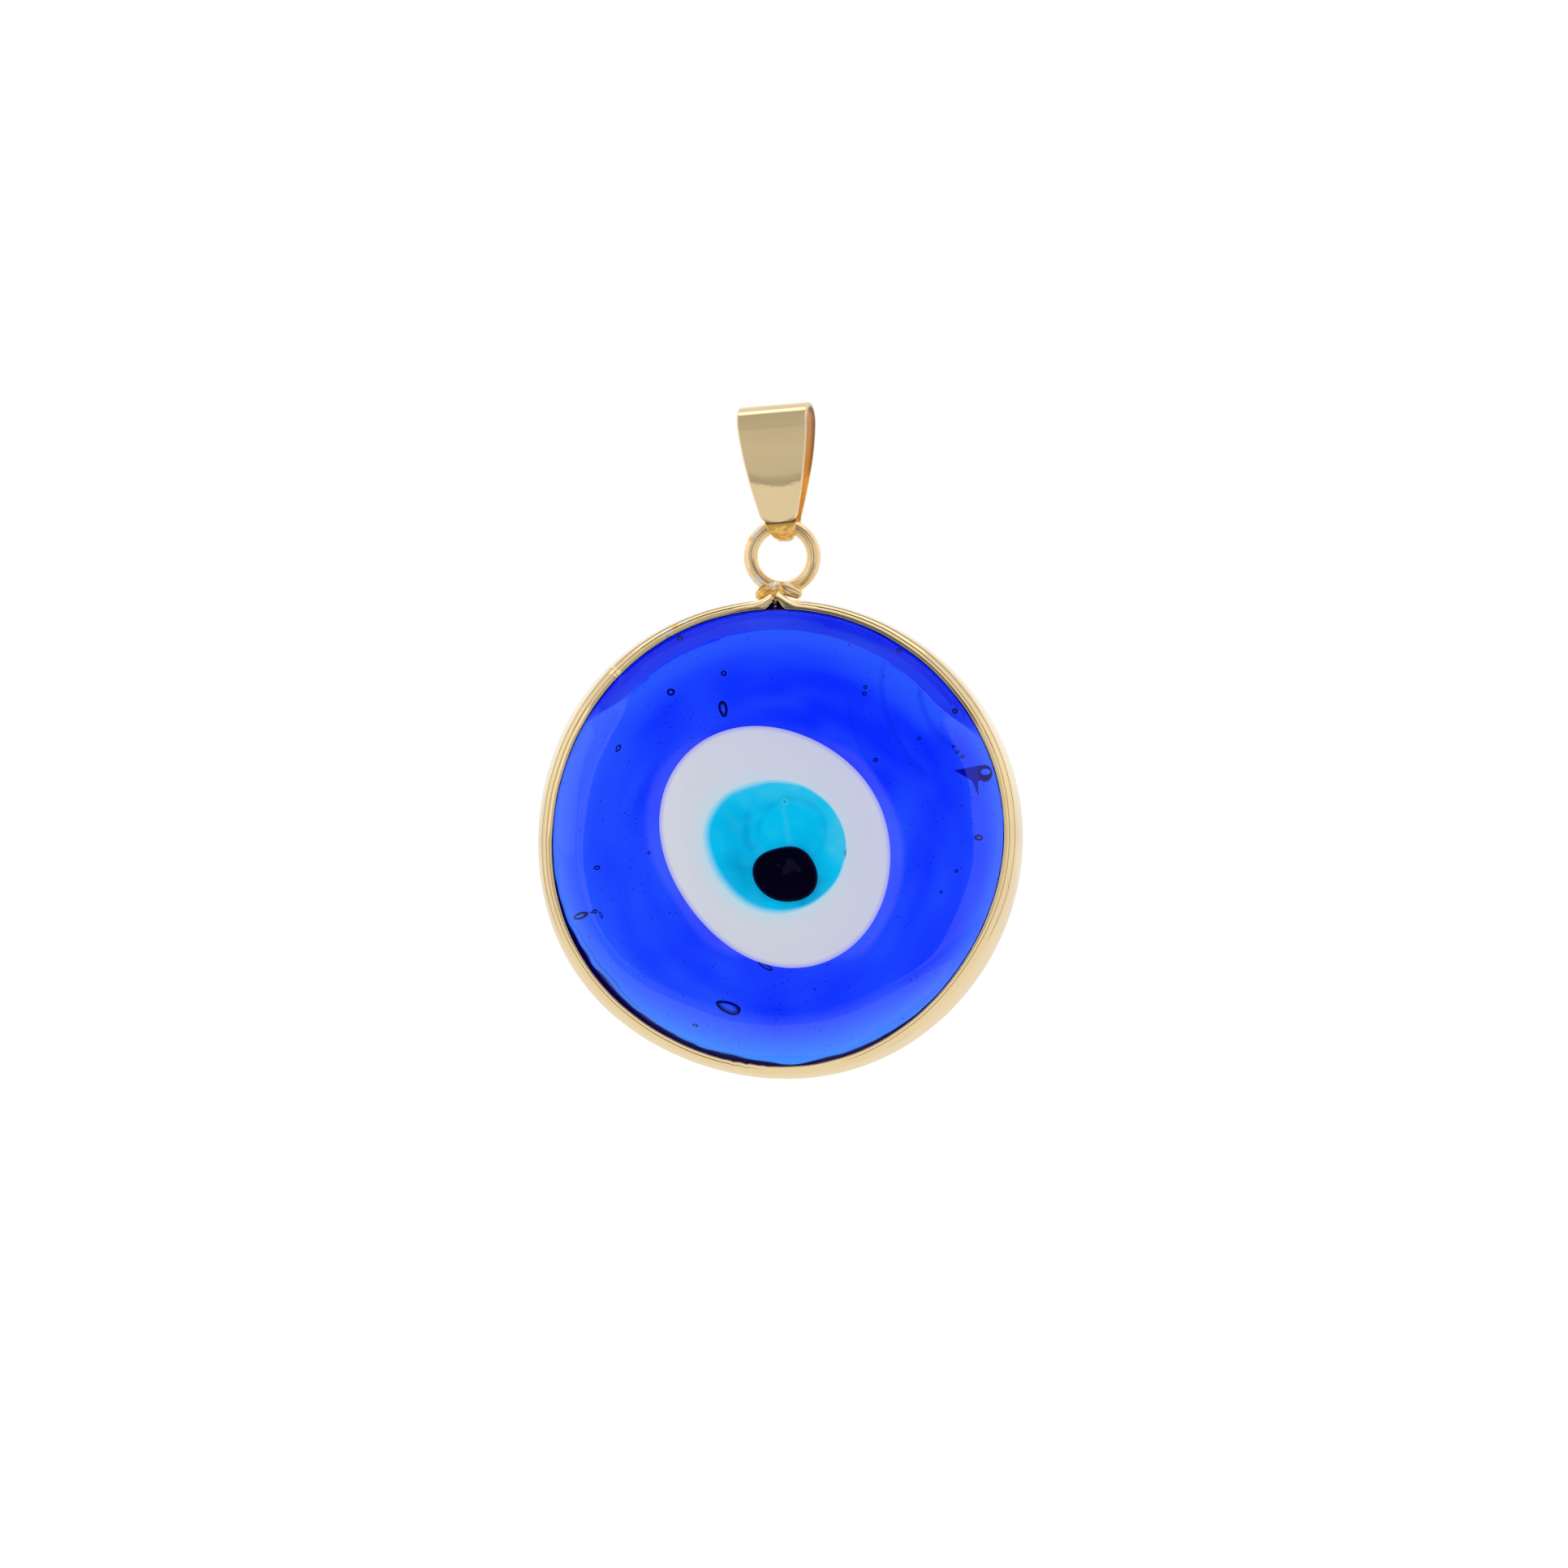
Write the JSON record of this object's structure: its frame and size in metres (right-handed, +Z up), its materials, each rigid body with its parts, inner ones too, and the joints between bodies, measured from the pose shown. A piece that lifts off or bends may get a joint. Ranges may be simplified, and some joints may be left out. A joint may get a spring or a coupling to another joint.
{
  "type": "glass eye pendant",
  "caption": "Round cobalt glass eye in a gold-coloured channel band, hung by a crossed wire loop from a folded sheet bail that slides onto a chain or cord.",
  "frame": {"origin": "where a chain or cord bears inside the crown of the bail", "axes": "+Z up along the hanging line, +X to the right of someone looking at the eye, the eye looks along -Y"},
  "size_m": [0.03, 0.0046, 0.042],
  "materials": {
    "cobalt_glass": "fire polished, seed bubbles inside",
    "white_glass": "opaque, glossy",
    "sky_blue_glass": "opaque, glossy, faint swirls",
    "black_glass": "opaque, glossy",
    "gold_plate": "pale gold plating, polished, worn in places",
    "gold_solder": "rough, lumpy, plated over"
  },
  "bodies": {
    "bail": {"bail": "gold_plate"},
    "drop": {"glass_disc": "cobalt_glass", "white_dot": "white_glass", "sky_blue_dot": "sky_blue_glass", "pupil_dot": "black_glass", "bezel_band": "gold_plate", "hanging_loop": "gold_plate", "solder_bead": "gold_solder"}
  },
  "joints": [
    {"name": "eye_swing", "type": "hinge", "parent": "bail", "child": "drop", "pos_m": [0.00043, 0.00019, -0.00715], "axis": [1, 0, 0], "range_deg": [-90, 130]}
  ]
}
